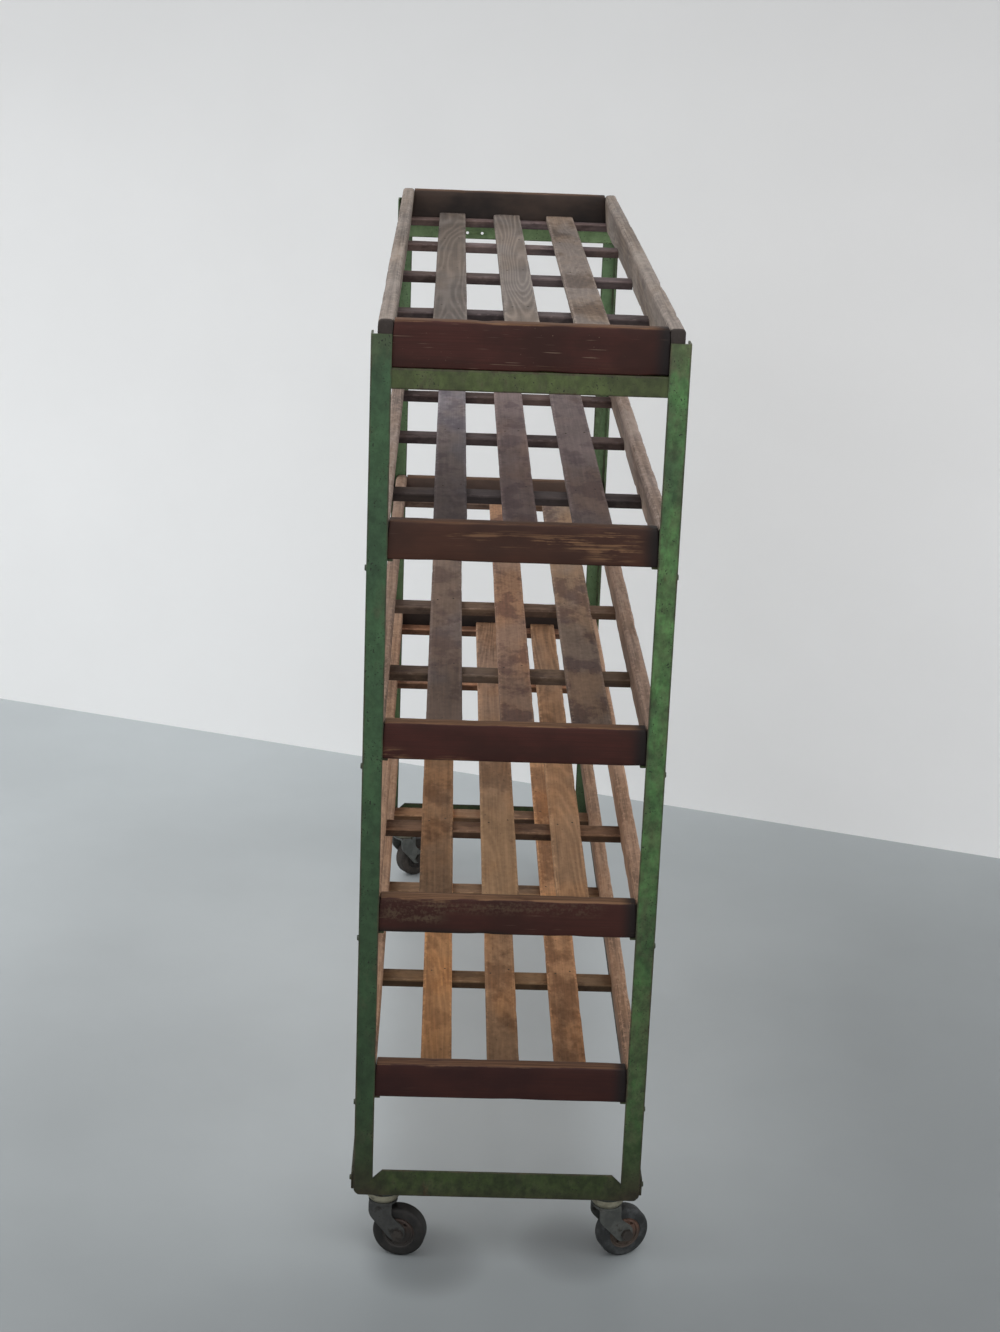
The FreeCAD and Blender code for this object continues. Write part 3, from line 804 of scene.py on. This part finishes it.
# Edge values of a batten below its top face, where its shader paints shade on the flanks. The low trays get a
# deeper painted shade.
FLANK_SHADE = -0.6
LOW_FLANK_SHADE = -1.0
BATTEN_TOP = 0.0014

# Shares of the length: the front end's painted light and shade end at the first, and the rear's grow from
# there over the second.
SHADED_TO = 0.25
LIGHTENING_RUN = 0.5


def lengthways(a, b, distance):
    return (a, distance, b)


def light_along(tone, front, rear, tints):
    """Colour by the distance along the rack, with painted light and shade: scaled by front at the front end,
    itself at a quarter, and scaled by rear over the rear half.
    """
    def color(distance):
        share = (distance / HALF_L + 1.0) / 2.0
        front_shade = 1.0 + (front - 1.0) * max(0.0, 1.0 - share / SHADED_TO)
        rear_light = (rear - 1.0) * min(max((share - SHADED_TO) / LIGHTENING_RUN, 0.0), 1.0)
        return tuple(c * (front_shade + rear_light * tint) for c, tint in zip(linear(*tone), tints))
    return color


# %% Five trays of boards, slats and battens
for number in TRAYS:
    half_w, half_l, floor_z, rim_z, foot, rim = tray_measures(number)

    def crossways(a, b, distance):
        """Cross pieces end on the leaning faces of the side boards."""
        return (distance * (foot - (foot - rim) * (b - floor_z) / (rim_z - floor_z)) / foot, a, b)

    for word, side in SIDES.items():
        points = [(rim, rim_z), (foot, floor_z), (half_w, floor_z), (half_w, rim_z)]
        points = [(side * x, z) for x, z in points]
        outline = dense(rounded(points, [RIM_R, FOOT_R, FOOT_R, RIM_R], steps=4), spacing=0.005)
        pile = Pile()
        pile.sweep(outline if side > 0 else outline[::-1], eased(-half_l, half_l, ease=0.004, count=90),
                   lengthways, seed=number * 2.0 + side * 0.7, wander=0.0007, chip=0.0035,
                   tone=linear(*SIDE_TONES[number]), stain=0.4)
        piece = pile.build("side_board_%d_%s" % (number, word), SIDE_WOOD)
        settle(piece, "rack", "side_board_wood", "tray_%d_%s_side" % (number, word))

    for word, end in ENDS.items():
        node = "tray_%d_%s_end" % (number, word)
        low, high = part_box(node)
        outline = dense(box_outline(low[1], high[1], low[2], high[2], END_R, steps=3), spacing=0.012)
        pile = Pile()
        pile.sweep(outline, eased(-foot, foot, ease=0.001, count=44), crossways,
                   seed=number * 3.0 + end, wander=0.0004, chip=0.0030)
        piece = pile.build("end_board_%d_%s" % (number, word), END_WOOD[number])
        settle(piece, "rack", "end_board_wood", node)

    pile = Pile()
    for count, (low, high) in enumerate(solid_boxes("tray_%d_slats" % number)):
        tone, stain, front, rear = SLAT_TONES[number][count]
        outline = dense(box_outline(low[0], high[0], low[2], high[2], SLAT_R), spacing=0.004)
        pile.sweep(outline, eased(low[1], high[1], ease=0.0015, count=80), lengthways,
                   seed=number * 5.0 + count * 1.37, wander=0.0006, chip=0.0020,
                   tone=light_along(tone, front, rear, SLAT_LIGHT_TINTS[number]), stain=stain)
    piece = pile.build("slats_%d" % number, SLAT_WOOD[number])
    settle(piece, "rack", "slat_wood", "tray_%d_slats" % number)

    pile = Pile()
    for count, (low, high) in enumerate(solid_boxes("tray_%d_battens" % number)):
        outline = dense(box_outline(low[1], high[1], low[2], high[2], BATTEN_R), spacing=0.002)
        # Painted shade on the batten's flanks, below its top face.
        flank = LOW_FLANK_SHADE if number > 3 else FLANK_SHADE
        outline = [(a, b, edge if b > high[2] - BATTEN_TOP else flank) for a, b, edge in outline]
        tone, rear = BATTEN_TONES[number]
        tone = light_along(tone, 1.0, rear, BATTEN_LIGHT_TINT)((low[1] + high[1]) / 2)
        pile.sweep(outline, eased(-foot, foot, ease=0.0005, count=16), crossways,
                   seed=number * 7.0 + count * 1.91, wander=0.0003, chip=0.0015, tone=tone, stain=0.8)
    piece = pile.build("battens_%d" % number, BATTEN_WOOD)
    settle(piece, "rack", "batten_wood", "tray_%d_battens" % number)

# %% [markdown]
# Frame
#
# The steel is swept too, with a millimetre of rounding on the outer edges so that they catch the
# light. A post and a base rail meet in a 45 degree mitre whose outer corner is ground round. Both
# sweeps end on that one curve, so the joint closes without a cut.


# %% The section of an angle and the mitred joint
EDGE_R = 0.0012
LIP_R = 0.0009


def mitre(depth):
    """How far the joint stands in at a depth from the outer face."""
    if depth >= CORNER_R:
        return depth
    depth = max(0.0, depth)
    return max(depth, CORNER_R - math.sqrt(CORNER_R ** 2 - (CORNER_R - depth) ** 2))


def angle_outline(corner, leg, sign_a, sign_b):
    """Section of an angle with its outer edge at corner, wound the same way for every corner."""
    a, b = corner
    points = [
        (a, b),
        (a + sign_a * leg, b),
        (a + sign_a * leg, b + sign_b * WALL),
        (a + sign_a * WALL, b + sign_b * WALL),
        (a + sign_a * WALL, b + sign_b * leg),
        (a, b + sign_b * leg),
    ]
    outline = dense(rounded(points, [EDGE_R, LIP_R, LIP_R, ROOT_R, LIP_R, LIP_R]), spacing=0.002)
    return outline if sign_a * sign_b > 0 else outline[::-1]


def upright(a, b, distance):
    return (a, b, max(distance, BASE_Z + mitre(HALF_W - abs(a))))


def base_run(a, b, distance):
    reach = HALF_W - mitre(b - BASE_Z)
    return (max(-reach, min(reach, distance)), a, b)


# %% Posts, base rails and top rails
MM_IN_M = 1000
DRILL_REACH = 0.01

for corner, (side, end) in CORNERS.items():
    outline = angle_outline((side * HALF_W, end * HALF_L), LEG, -side, -end)
    pile = Pile()
    pile.sweep(outline, [(BASE_Z, 0.0)] + even(BASE_Z + BASE_LEG, POST_TOP, count=30), upright,
               seed=side + end * 2.0)
    piece = pile.build("steel_post_" + corner, POST_PAINT[side] if end < 0 else LIT_REAR_PAINT)
    settle(piece, "rack", "post_paint", "post_" + corner)

for word, end in ENDS.items():
    inner = HALF_W - BASE_LEG
    pile = Pile()
    pile.sweep(angle_outline((end * HALF_L, BASE_Z), BASE_LEG, -end, 1),
               [(-HALF_W, 0.0)] + even(-inner, inner, count=12) + [(HALF_W, 0.0)], base_run, seed=end)
    settle(pile.build("steel_base_" + word, BASE_PAINT), "rack", "base_paint", "base_rail_" + word)

    low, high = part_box("top_rail_" + word)
    outer = high[1] if end > 0 else low[1]
    pile = Pile()
    pile.sweep(angle_outline((outer, high[2]), LEG, -end, -1), even(low[0], high[0], count=16),
               lambda a, b, distance: (distance, a, b), seed=end * 3.0)
    piece = pile.build("steel_top_" + word, RAIL_PAINT if end < 0 else LIT_REAR_RAIL_PAINT)
    if end > 0:
        mount = next(m for m in frame["record"]["mounts"] if m["name"] == "rear_rail_holes")
        drills = Pile()
        for step in (-1, 1):
            apart = step * mount["dims"]["spacing_x_mm"] / (2 * MM_IN_M)
            middle = Vector(mount["pos_m"]) + Vector((apart, 0, 0))
            drills.sweep(circle(mount["dims"]["hole_r_mm"] / MM_IN_M, count=20),
                         even(-DRILL_REACH, DRILL_REACH, count=1),
                         lambda a, b, distance: (middle.x + a, middle.y - distance, middle.z + b), seed=0.0)
        pierce(piece, drills)
    settle(piece, "rack", "rail_paint", "top_rail_" + word)

# %% Side bars and cleats
for word, side in SIDES.items():
    low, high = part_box("side_bar_" + word)
    pile = Pile()
    pile.sweep(box_outline(low[0], high[0], low[2], high[2], EDGE_R),
               eased(low[1], high[1], ease=0.001, count=40), lengthways, seed=side, wander=0.0003)
    settle(pile.build("steel_bar_" + word, BASE_PAINT), "rack", "post_paint", "side_bar_" + word)

cleats = solid_boxes("tray_cleats")
pile = Pile()
for low, high in cleats:
    side = 1 if low[0] > 0 else -1
    outer = high[0] if side > 0 else low[0]
    pile.sweep(angle_outline((outer, high[2]), high[0] - low[0], -side, -1),
               even(low[1], high[1], count=2), lengthways, seed=outer)
settle(pile.build("steel_cleats", BASE_PAINT), "rack", "cleat_paint", "tray_cleats")

# %% [markdown]
# Nails and bolts
#
# Every slat is nailed to every batten, and every cleat is bolted through its post: hundreds of
# heads in two patterns. Geometry Nodes puts one head on every point of a small point mesh and turns
# it to the direction stored there. The result is made real and kept as a plain mesh.


# %% One head on every point
TOP_SHARE = 0.75


def heads(name, points, sides, radius, depth, material):
    """Heads with a number of sides at points, a list of (place, direction)."""
    tree = bpy.data.node_groups.new(name, "GeometryNodeTree")
    face = tree.interface
    face.new_socket("Geometry", in_out="INPUT", socket_type="NodeSocketGeometry")
    face.new_socket("Geometry", in_out="OUTPUT", socket_type="NodeSocketGeometry")
    radius_in = face.new_socket("Radius", in_out="INPUT", socket_type="NodeSocketFloat")
    depth_in = face.new_socket("Depth", in_out="INPUT", socket_type="NodeSocketFloat")
    make = tree.nodes.new
    link = tree.links.new
    start = make("NodeGroupInput")
    head = make("GeometryNodeMeshCone")
    head.inputs["Vertices"].default_value = sides
    shrink = make("ShaderNodeMath")
    shrink.operation = "MULTIPLY"
    shrink.inputs[1].default_value = TOP_SHARE
    link(start.outputs["Radius"], shrink.inputs[0])
    link(start.outputs["Radius"], head.inputs["Radius Bottom"])
    link(shrink.outputs[0], head.inputs["Radius Top"])
    link(start.outputs["Depth"], head.inputs["Depth"])
    aim = make("GeometryNodeInputNamedAttribute")
    aim.data_type = "FLOAT_VECTOR"
    aim.inputs["Name"].default_value = "aim"
    turn = make("FunctionNodeAlignRotationToVector")
    turn.axis = "Z"
    link(aim.outputs["Attribute"], turn.inputs["Vector"])
    copies = make("GeometryNodeInstanceOnPoints")
    link(start.outputs["Geometry"], copies.inputs["Points"])
    link(head.outputs["Mesh"], copies.inputs["Instance"])
    link(turn.outputs["Rotation"], copies.inputs["Rotation"])
    real = make("GeometryNodeRealizeInstances")
    link(copies.outputs["Instances"], real.inputs["Geometry"])
    coat = make("GeometryNodeSetMaterial")
    coat.inputs["Material"].default_value = material
    link(real.outputs["Geometry"], coat.inputs["Geometry"])
    link(coat.outputs["Geometry"], make("NodeGroupOutput").inputs["Geometry"])

    cloud = bpy.data.meshes.new(name + "_points")
    cloud.from_pydata([place for place, direction in points], [], [])
    layer = cloud.attributes.new("aim", "FLOAT_VECTOR", "POINT")
    layer.data.foreach_set("vector", [c for place, direction in points for c in direction])
    piece = bpy.data.objects.new(name, cloud)
    bpy.context.scene.collection.objects.link(piece)
    modifier = piece.modifiers.new("heads", "NODES")
    modifier.node_group = tree
    modifier[radius_in.identifier] = radius
    modifier[depth_in.identifier] = depth
    bpy.context.view_layer.update()
    mesh = bpy.data.meshes.new_from_object(piece.evaluated_get(bpy.context.evaluated_depsgraph_get()))
    piece.modifiers.remove(modifier)
    piece.data = mesh
    return piece


# %% Nails through the slats and boards
NAIL_SIDES = 10
NAIL_R = 0.0019
NAIL_DEPTH = 0.0007
SUNK = 0.0002
SUNK_IN_SIDE = 0.0004

# A slat has two nails in each batten, set apart by a share of its width and a little along it.
PAIR_SHARE = 0.27
PAIR_STEP = 0.006
JITTER = 0.005

# A side board has a nail into each batten and two into the edge of each end board.
NAIL_UP = 0.007
NAIL_IN = 0.012
END_SHARES = (0.28, 0.72)

nail_points = []
for number in TRAYS:
    half_w, half_l, floor_z, rim_z, foot, rim = tray_measures(number)
    battens = solid_boxes("tray_%d_battens" % number)
    for s, (low, high) in enumerate(solid_boxes("tray_%d_slats" % number)):
        for b, (start, finish) in enumerate(battens):
            for k in (-1, 1):
                jitter = noise.noise((s * 3.1 + k, b * 1.7, number * 2.3)) * JITTER
                x = (low[0] + high[0]) / 2 + k * (high[0] - low[0]) * PAIR_SHARE + jitter
                y = (start[1] + finish[1]) / 2 + k * PAIR_STEP + jitter
                nail_points.append(((x, y, high[2] - SUNK), (0, 0, 1)))
    for side in (-1, 1):
        outer = side * (half_w - SUNK_IN_SIDE)
        for start, finish in battens:
            nail_points.append(((outer, (start[1] + finish[1]) / 2, floor_z + NAIL_UP), (side, 0, 0)))
        for end in (-1, 1):
            for share in END_SHARES:
                place = (outer, end * (half_l - NAIL_IN), floor_z + (rim_z - floor_z) * share)
                nail_points.append((place, (side, 0, 0)))
settle(heads("nails", nail_points, NAIL_SIDES, NAIL_R, NAIL_DEPTH, NAIL), "rack", "bolt_steel")
print("nails:", len(nail_points))

# %% Bolts through the posts and side bars
BOLT_SIDES = 6
BOLT_R = 0.0055
BOLT_DEPTH = 0.0030
BOLT_DROP = 0.57

bolt_points = []
for low, high in cleats:
    side = 1 if low[0] > 0 else -1
    y = (low[1] + high[1]) / 2
    z = high[2] - LEG * BOLT_DROP
    bolt_points.append(((side * (HALF_W - SUNK), y, z), (side, 0, 0)))
    bolt_points.append(((side * (HALF_W - 2 * WALL + SUNK), y, z), (-side, 0, 0)))
bar_low, bar_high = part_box("side_bar_right")
for side, end in CORNERS.values():
    place = (side * (bar_high[0] - SUNK), end * (HALF_L - LEG / 2), (bar_low[2] + bar_high[2]) / 2)
    bolt_points.append((place, (side, 0, 0)))
settle(heads("bolts", bolt_points, BOLT_SIDES, BOLT_R, BOLT_DEPTH, BOLT_PAINT), "rack", "bolt_steel")
print("bolts:", len(bolt_points))

# %% [markdown]
# Casters
#
# The tyre, hub, race and dish are turned from outlines about the joints' own axes, which the
# record gives. Their radii and widths are measured on the CAD meshes in the frame of the axle. The
# fork, axle and king bolt keep their CAD meshes and only get a better surface.


# %% Axes and sizes of turned pieces
def axis_matrix(place, axis):
    """Matrix whose Z axis lies along axis, at place."""
    return Matrix.Translation(place) @ Vector(axis).to_track_quat("Z", "Y").to_matrix().to_4x4()


def turned_size(node, matrix):
    """Inner radius, outer radius and half width of a node about the Z axis of a matrix."""
    spots = [matrix.inverted() @ vertex.co for vertex in nodes[node].data.vertices]
    radii = [math.hypot(spot.x, spot.y) for spot in spots]
    return min(radii), max(radii), max(abs(spot.z) for spot in spots)


# %% Wheels, rings and dishes
dishes = Pile()
races = Pile()
dish_low, dish_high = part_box("caster_dishes")
race_low, race_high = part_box("race_rings")
swivel_x = joints["swivel_front_right"]["pos_m"][0]
dish_r = dish_high[0] - swivel_x
race_r = race_high[0] - swivel_x
KING_R = 0.0062
RACE_FOOT = 0.84
RACE_TAPER = 0.4
BEAD_R = 0.001
TREAD_R = 0.006
TYRE_STEPS = 72
RING_STEPS = 56

# Two holes through each hub: their radius, their place out from the axle, their turn and the drill's reach.
HOLE_R = 0.0028
HOLE_SHARE = 0.66
HOLE_TURN = 52
HOLE_REACH = 0.03

dish = rounded([(KING_R, dish_low[2]), (dish_r, dish_low[2]), (dish_r, dish_high[2]), (KING_R, dish_high[2])],
               [0, 0.002, 0.001, 0], steps=4)
middle = race_low[2] + (race_high[2] - race_low[2]) * RACE_TAPER
race = rounded([(KING_R, race_low[2]), (RACE_FOOT * race_r, race_low[2]), (race_r, middle),
                (race_r, race_high[2]), (KING_R, race_high[2])], [0, 0.001, 0.003, 0.0015, 0], steps=4)
for count, (corner, (side, end)) in enumerate(CORNERS.items()):
    roll = joints["roll_" + corner]
    axle = axis_matrix(roll["pos_m"], roll["axis"])
    inner, outer, half = turned_size("tyre_" + corner, axle)
    outline = rounded([(inner, -half), (outer, -half), (outer, half), (inner, half)],
                      [BEAD_R, TREAD_R, TREAD_R, BEAD_R], steps=6)
    pile = Pile()
    pile.turn(outline, axle, TYRE_STEPS, count)
    tyre = pile.build("rubber_" + corner, TYRE[side] if end < 0 else LIT_REAR_TYRE)
    settle(tyre, "wheel_" + corner, "tyre_rubber", "tyre_" + corner)

    bore, disc, half = turned_size("hub_" + corner, axle)
    flank = [(bore, half), (0.42 * disc, half), (0.46 * disc, half - 0.0022), (0.76 * disc, half - 0.0026),
             (0.80 * disc, half - 0.0010), (0.86 * disc, half - 0.0010), (0.90 * disc, half - 0.0026),
             (0.96 * disc, half - 0.0022), (disc, half - 0.0014)]
    pile = Pile()
    outline = [(r, -h, 0.0) for r, h in flank] + [(r, h, 0.0) for r, h in reversed(flank)]
    pile.turn(outline, axle, RING_STEPS, count)
    hub = pile.build("disc_" + corner, HUB_PAINT[side])
    drills = Pile()
    lean = math.radians(HOLE_TURN)
    spoke = Vector((roll["axis"][1] * math.cos(lean), -roll["axis"][0] * math.cos(lean), math.sin(lean)))
    for step in (-1, 1):
        offset = spoke * (step * HOLE_SHARE * disc)
        drills.sweep(circle(HOLE_R, count=16), even(-HOLE_REACH, HOLE_REACH, count=1),
                     lambda a, b, distance: axle @ Vector((a, b, distance)) + offset, seed=0.0)
    pierce(hub, drills)
    settle(hub, "wheel_" + corner, "hub_paint", "hub_" + corner)

    swivel = Matrix.Translation((*joints["swivel_" + corner]["pos_m"][:2], 0))
    dishes.turn(dish, swivel, RING_STEPS, count)
    races.turn(race, swivel, RING_STEPS, count)
settle(dishes.build("dishes", DARK), "rack", "dark_steel", "caster_dishes")
settle(races.build("races", RACE), "rack", "race_steel", "race_rings")


# %% Surfaces of the CAD nodes that stay
def dress(node, material):
    nodes[node].data.materials.clear()
    nodes[node].data.materials.append(material)


for corner, (side, end) in CORNERS.items():
    dress("fork_" + corner, FORK[side] if end < 0 else LIT_REAR_FORK)
    dress("axle_" + corner, BOLT)
dress("king_bolts", BOLT)
print("caster pieces dressed:", 4 * len(CORNERS) + 3)

# %% [markdown]
# Stage
#
# A pale floor, a white wall at the photograph's angle, soft light from all round with a little more
# from above, and the camera that was solved from the photograph's perspective lines. The wall lets a
# look from behind it pass, so that the far sides of the rack can be viewed too. The floor is drawn a
# little darker beside the front casters, where the photograph has two soft patches of shade.


# %% Floor and wall
def plain(g, color, rough, swing, light, alpha=1.0):
    """A plain surface with faint clouds, brightened by a value that may vary over it."""
    cloud = g.noise(g.vector(*g.place()), 1.6, 5.0)
    shade = tuple(c * swing for c in color)
    clouded = g.mix(cloud.step(0.3, 0.7), shade, color)
    return g.finish(g.brighten(clouded, light), rough, cloud, 0.02, 0.001, specular=0.3, alpha=alpha)


# The floor's light rises towards the rear left, is lifted under the rack and dips at the front.
FLOOR_COLOR = (0.43, 0.46, 0.47)
FLOOR_LIGHT = 0.55
FLOOR_RISE = 0.64
UNDER_LIFT = 0.46
FRONT_DIP = 0.05
CASTER_DIP = 0.22
CASTER_SPOTS = ((-0.11, -0.79), (0.13, -0.74))
floor = Graph("floor_pale")
x, y, z = floor.place()
under = x.abs().step(0.8, 0.1) * y.abs().step(1.05, 0.35)
rise = (y - x * 0.8).step(-1.7, 2.0)
glow = rise * FLOOR_RISE + under * UNDER_LIFT - y.step(-0.55, -0.85) * FRONT_DIP + FLOOR_LIGHT
for spot_x, spot_y in CASTER_SPOTS:
    across = (x - spot_x) * 9.0
    along = (y - spot_y) * 8.0
    glow = glow - (across * across + along * along).step(1.0, 0.0) * CASTER_DIP
floor_pale = plain(floor, FLOOR_COLOR, 0.45, 0.92, glow)

# The wall's light falls off towards its top.
WALL_COLOR = (0.90, 0.895, 0.89)
WALL_LIGHT = 1.06
WALL_FALL = -0.40
wall = Graph("wall_white")
x, y, z = wall.place()
from_front = 1.0 - wall.node("ShaderNodeNewGeometry", "Backfacing", {})
wall_white = plain(wall, WALL_COLOR, 0.8, 0.97, z.step(0.5, 2.6) * WALL_FALL + WALL_LIGHT, from_front)


def slab(name, corners, material):
    mesh = bpy.data.meshes.new(name)
    mesh.from_pydata(corners, [], [(0, 1, 2, 3)])
    mesh.materials.append(material)
    piece = bpy.data.objects.new(name, mesh)
    bpy.context.scene.collection.objects.link(piece)


REACH = 9
WALL_HEIGHT = 6
slab("floor", [(-REACH, -REACH, 0), (REACH, -REACH, 0), (REACH, REACH, 0), (-REACH, REACH, 0)], floor_pale)
wall_start = Vector((-1.271, 1.879, 0.0))
wall_end = Vector((1.193, 0.960, 0.0))
wall_run = (wall_end - wall_start).normalized() * REACH
wall_mid = (wall_start + wall_end) / 2
up = Vector((0, 0, WALL_HEIGHT))
slab("wall", [wall_mid - wall_run, wall_mid + wall_run, wall_mid + wall_run + up, wall_mid - wall_run + up],
     wall_white)


# %% Light and camera
def lamp(name, place, target, size, power):
    light = bpy.data.lights.new(name, "AREA")
    light.shape = "RECTANGLE"
    light.size, light.size_y = size
    light.energy = power
    piece = bpy.data.objects.new(name, light)
    piece.location = place
    piece.rotation_euler = (Vector(target) - Vector(place)).to_track_quat("-Z", "Y").to_euler()
    bpy.context.scene.collection.objects.link(piece)


lamp("key", (-2.2, -0.6, 3.6), (0.0, 0.6, 0.6), (3.2, 2.6), 22)
lamp("fill", (2.2, -3.0, 3.2), (0.0, 0.0, 0.7), (3.0, 3.0), 22)
scene = bpy.context.scene
world = bpy.data.worlds.new("studio")
world.use_nodes = True
background = world.node_tree.nodes["Background"]
background.inputs["Color"].default_value = (0.97, 0.985, 1.0, 1.0)
background.inputs["Strength"].default_value = 1.08
scene.world = world
scene.view_settings.view_transform = "Standard"

lens = bpy.data.cameras.new("photo_camera")
lens.sensor_fit = "VERTICAL"
lens.sensor_height = 36.0
lens.lens = 64.01
lens.clip_end = 50
camera = bpy.data.objects.new("photo_camera", lens)
# Solved place and angles: metres from the middle of the base rail's foot, and radians.
CAMERA_X = -0.1199
CAMERA_Y = -3.2893
CAMERA_Z = 1.9436
pitch = 0.3125
yaw = 0.0283
tilt = -0.0392
forward = Vector((math.sin(yaw) * math.cos(pitch), math.cos(yaw) * math.cos(pitch), -math.sin(pitch)))
level = Vector((math.cos(yaw), -math.sin(yaw), 0))
down = forward.cross(level)
right = level * math.cos(tilt) + down * math.sin(tilt)
lower = down * math.cos(tilt) - level * math.sin(tilt)
turn = Matrix((right, -lower, -forward)).transposed().to_4x4()
camera.matrix_world = Matrix.Translation((CAMERA_X, CAMERA_Y - HALF_L, CAMERA_Z + BASE_Z)) @ turn
scene.collection.objects.link(camera)
scene.camera = camera
print("camera at", [round(c, 3) for c in camera.matrix_world.translation])
